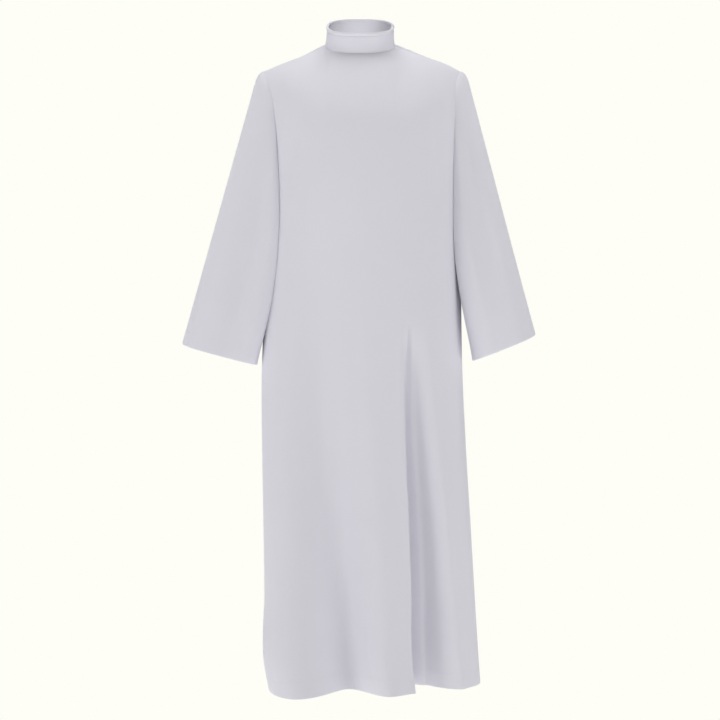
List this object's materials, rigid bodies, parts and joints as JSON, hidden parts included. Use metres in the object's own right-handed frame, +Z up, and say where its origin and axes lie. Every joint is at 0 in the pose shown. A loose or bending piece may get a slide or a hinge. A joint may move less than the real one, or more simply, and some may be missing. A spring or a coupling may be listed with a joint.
{
  "type": "alb robe",
  "caption": "Long plain white liturgical robe with a stand collar, wide set-in sleeves and a flared ankle-length skirt, filled out as worn.",
  "frame": {"origin": "middle of the neck base, on the line between the shoulders that hold the robe up", "axes": "+Z up along the wearer, +X to the wearer's left, the front of the robe faces -Y"},
  "size_m": [0.749, 0.4272, 1.4095],
  "materials": {
    "cloth": "matt, fine plain weave",
    "collar_cloth": "matt, fine plain weave, doubled and pressed"
  },
  "bodies": {
    "root": {"front": "cloth", "back": "cloth", "sleeve_left": "cloth", "sleeve_right": "cloth", "collar": "collar_cloth"}
  },
  "joints": []
}
